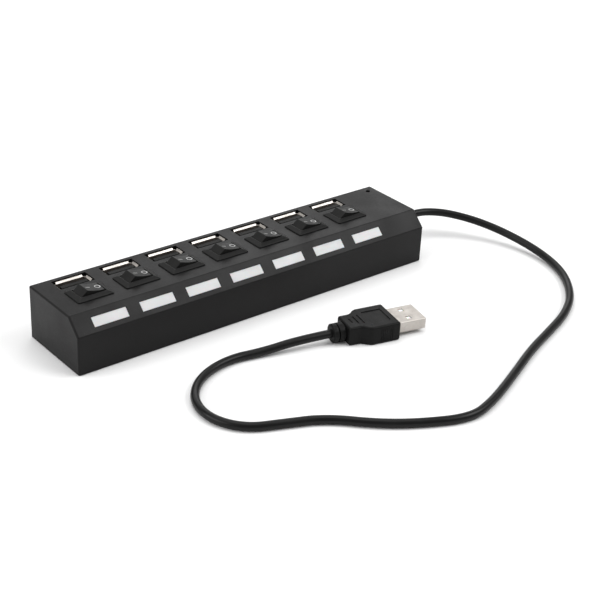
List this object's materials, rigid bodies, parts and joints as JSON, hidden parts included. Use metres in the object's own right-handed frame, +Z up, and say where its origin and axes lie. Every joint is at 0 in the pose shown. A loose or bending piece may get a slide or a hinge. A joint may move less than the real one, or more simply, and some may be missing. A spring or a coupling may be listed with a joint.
{
  "type": "usb hub",
  "caption": "Bar-shaped black USB hub with upright sockets, a rocker switch and label window for each, and a captive lead ending in a USB-A plug.",
  "frame": {"origin": "on the surface the hub stands on, under the middle of the housing", "axes": "+X along the bar to the end that the lead leaves, +Y to the back where the sockets are, +Z up"},
  "size_m": [0.2111, 0.1363, 0.0247],
  "materials": {
    "housing": "fine satin grain, black",
    "cover": "matte black",
    "screw_steel": "dark zinc",
    "foot_rubber": "matte",
    "board_laminate": "green solder mask",
    "indicator": "clear resin",
    "chip_resin": "moulded resin",
    "tinned_can": "satin",
    "capacitor_sleeve": "shrunk sleeve",
    "port_steel": "bright nickel",
    "tongue_plastic": "matte",
    "contact_brass": "thin gold",
    "switch_plastic": "satin black",
    "rocker_plastic": "satin black",
    "label_sheet": "matte white",
    "jack_plastic": "matte black",
    "gland_rubber": "semi-matte",
    "wire_sleeve": "soft PVC",
    "lead_jacket": "semi-gloss PVC",
    "plug_moulding": "fine matte grain",
    "plug_steel": "nickel plate",
    "insulator_plastic": "matte"
  },
  "bodies": {
    "case": {"upper_housing": "housing", "bottom_cover": "cover", "case_screws": "screw_steel", "rubber_feet": "foot_rubber", "circuit_board": "board_laminate", "status_leds": "indicator", "power_lamp": "indicator", "controller_chips": "chip_resin", "crystal": "tinned_can", "capacitors": "capacitor_sleeve", "port_shell_1": "port_steel", "port_shell_2": "port_steel", "port_shell_3": "port_steel", "port_shell_4": "port_steel", "port_shell_5": "port_steel", "port_shell_6": "port_steel", "port_shell_7": "port_steel", "port_tongue_1": "tongue_plastic", "port_tongue_2": "tongue_plastic", "port_tongue_3": "tongue_plastic", "port_tongue_4": "tongue_plastic", "port_tongue_5": "tongue_plastic", "port_tongue_6": "tongue_plastic", "port_tongue_7": "tongue_plastic", "port_contacts": "contact_brass", "switch_terminals": "contact_brass", "jack_pin": "contact_brass", "plug_contacts": "contact_brass", "switch_frame_1": "switch_plastic", "switch_frame_2": "switch_plastic", "switch_frame_3": "switch_plastic", "switch_frame_4": "switch_plastic", "switch_frame_5": "switch_plastic", "switch_frame_6": "switch_plastic", "switch_frame_7": "switch_plastic", "label_window_1": "label_sheet", "label_window_2": "label_sheet", "label_window_3": "label_sheet", "label_window_4": "label_sheet", "label_window_5": "label_sheet", "label_window_6": "label_sheet", "label_window_7": "label_sheet", "power_jack": "jack_plastic", "cable_gland": "gland_rubber", "lead_wires": "wire_sleeve", "cable": "lead_jacket", "plug_overmold": "plug_moulding", "plug_shell": "plug_steel", "plug_insulator": "insulator_plastic"},
    "rocker_1": {"rocker_1": "rocker_plastic"},
    "rocker_2": {"rocker_2": "rocker_plastic"},
    "rocker_3": {"rocker_3": "rocker_plastic"},
    "rocker_4": {"rocker_4": "rocker_plastic"},
    "rocker_5": {"rocker_5": "rocker_plastic"},
    "rocker_6": {"rocker_6": "rocker_plastic"},
    "rocker_7": {"rocker_7": "rocker_plastic"}
  },
  "joints": [
    {"name": "rocker_1_tilt", "type": "hinge", "parent": "case", "child": "rocker_1", "pos_m": [-0.0673, 0, 0.0187], "axis": [0, -1, 0], "range_deg": [0, 24]},
    {"name": "rocker_2_tilt", "type": "hinge", "parent": "case", "child": "rocker_2", "pos_m": [-0.0471, 0, 0.0187], "axis": [0, -1, 0], "range_deg": [0, 24]},
    {"name": "rocker_3_tilt", "type": "hinge", "parent": "case", "child": "rocker_3", "pos_m": [-0.0269, 0, 0.0187], "axis": [0, -1, 0], "range_deg": [0, 24]},
    {"name": "rocker_4_tilt", "type": "hinge", "parent": "case", "child": "rocker_4", "pos_m": [-0.0067, 0, 0.0187], "axis": [0, -1, 0], "range_deg": [0, 24]},
    {"name": "rocker_5_tilt", "type": "hinge", "parent": "case", "child": "rocker_5", "pos_m": [0.0135, 0, 0.0187], "axis": [0, -1, 0], "range_deg": [0, 24]},
    {"name": "rocker_6_tilt", "type": "hinge", "parent": "case", "child": "rocker_6", "pos_m": [0.0337, 0, 0.0187], "axis": [0, -1, 0], "range_deg": [0, 24]},
    {"name": "rocker_7_tilt", "type": "hinge", "parent": "case", "child": "rocker_7", "pos_m": [0.0539, 0, 0.0187], "axis": [0, -1, 0], "range_deg": [0, 24]}
  ]
}
